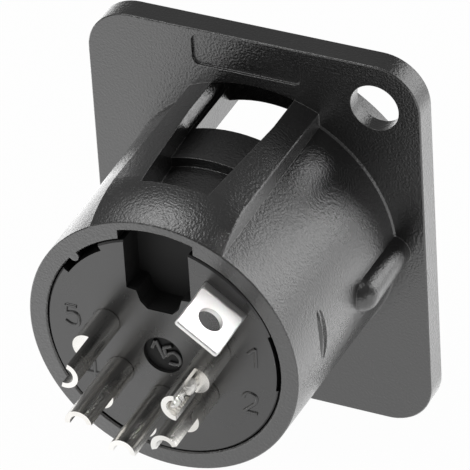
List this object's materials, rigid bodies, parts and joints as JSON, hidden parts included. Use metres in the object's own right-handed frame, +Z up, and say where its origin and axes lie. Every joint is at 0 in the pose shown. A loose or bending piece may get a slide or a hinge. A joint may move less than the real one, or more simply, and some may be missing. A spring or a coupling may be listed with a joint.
{
  "type": "panel mount xlr receptacle",
  "caption": "Round connector barrel on a square-cornered screw flange, with a keyed mouth, recessed contact pins, rear solder cups and a ground lug.",
  "frame": {"origin": "on the connector's axis, in the rear face of the flange", "axes": "+Y along the connector's axis towards the solder side, +Z up along the flange's long side with the latch block on top"},
  "size_m": [0.026, 0.0276, 0.031],
  "materials": {
    "shell": "semi-gloss black paint on die-cast zinc",
    "insert": "fine matt moulding",
    "contact": "bright silver plating on turned brass",
    "lug": "bright tin plating on sheet brass"
  },
  "bodies": {
    "root": {"shell": "shell", "insert": "insert", "contact_1": "contact", "contact_2": "contact", "contact_3": "contact", "contact_4": "contact", "contact_5": "contact", "ground_lug": "lug"}
  },
  "joints": []
}
